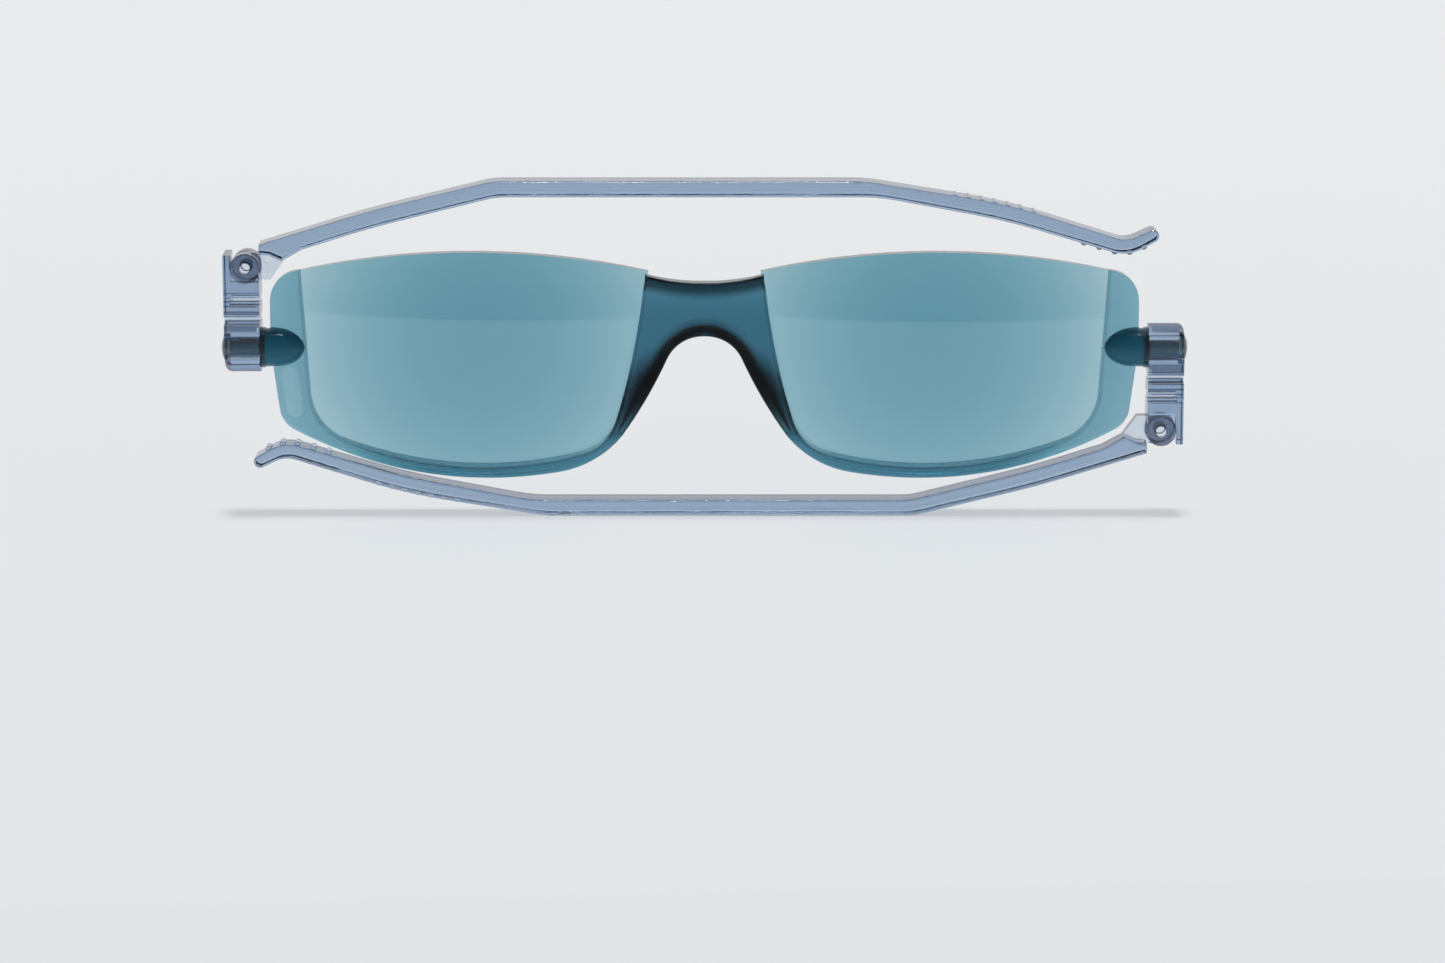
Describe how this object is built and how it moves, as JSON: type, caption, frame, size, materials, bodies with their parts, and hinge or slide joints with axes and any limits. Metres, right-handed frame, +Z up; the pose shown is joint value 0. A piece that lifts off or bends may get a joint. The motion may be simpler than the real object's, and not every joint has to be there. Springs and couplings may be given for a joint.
{
  "type": "folding reading glasses",
  "caption": "Half-rim reading glasses whose front stows flat between its temples, each temple hinged to a knuckle that swivels on the front.",
  "frame": {"origin": "middle of the stowed stack, on the flat outer side of the lower (left) temple that it stands on", "axes": "+X along the front towards the wearer's left, +Y from the front's outer face towards the wearer, +Z up from the lower temple to the upper one"},
  "size_m": [0.1448, 0.006, 0.0508],
  "materials": {
    "front": "translucent teal moulding with a fine satin surface",
    "lens": "teal-tinted clear lens, polished",
    "washer": "translucent teal",
    "cap": "glossy smoke-teal",
    "knuckle": "clear, faintly blue-grey, glossy",
    "hinge_pin": "clear",
    "temple": "clear, faintly blue-grey, glossy, with fine lengthwise flutes"
  },
  "bodies": {
    "front": {"front_frame": "front", "lens_right": "lens", "lens_left": "lens", "swivel_washer_right": "washer", "swivel_washer_left": "washer", "swivel_cap_right": "cap", "swivel_cap_left": "cap"},
    "knuckle_right": {"knuckle_right": "knuckle", "hinge_pin_right": "hinge_pin"},
    "temple_right": {"temple_right": "temple"},
    "knuckle_left": {"knuckle_left": "knuckle", "hinge_pin_left": "hinge_pin"},
    "temple_left": {"temple_left": "temple"}
  },
  "joints": [
    {"name": "right_swivel", "type": "hinge", "parent": "front", "child": "knuckle_right", "pos_m": [-0.069, 0, 0.0254], "axis": [-1, 0, 0], "range_deg": [0, 100]},
    {"name": "left_swivel", "type": "hinge", "parent": "front", "child": "knuckle_left", "pos_m": [0.069, 0, 0.0254], "axis": [1, 0, 0], "range_deg": [0, 100]},
    {"name": "right_temple_hinge", "type": "hinge", "parent": "knuckle_right", "child": "temple_right", "pos_m": [-0.06845, 0, 0.0378], "axis": [0, -1, 0], "range_deg": [0, 90]},
    {"name": "left_temple_hinge", "type": "hinge", "parent": "knuckle_left", "child": "temple_left", "pos_m": [0.06845, 0, 0.013], "axis": [0, -1, 0], "range_deg": [0, 90]}
  ]
}
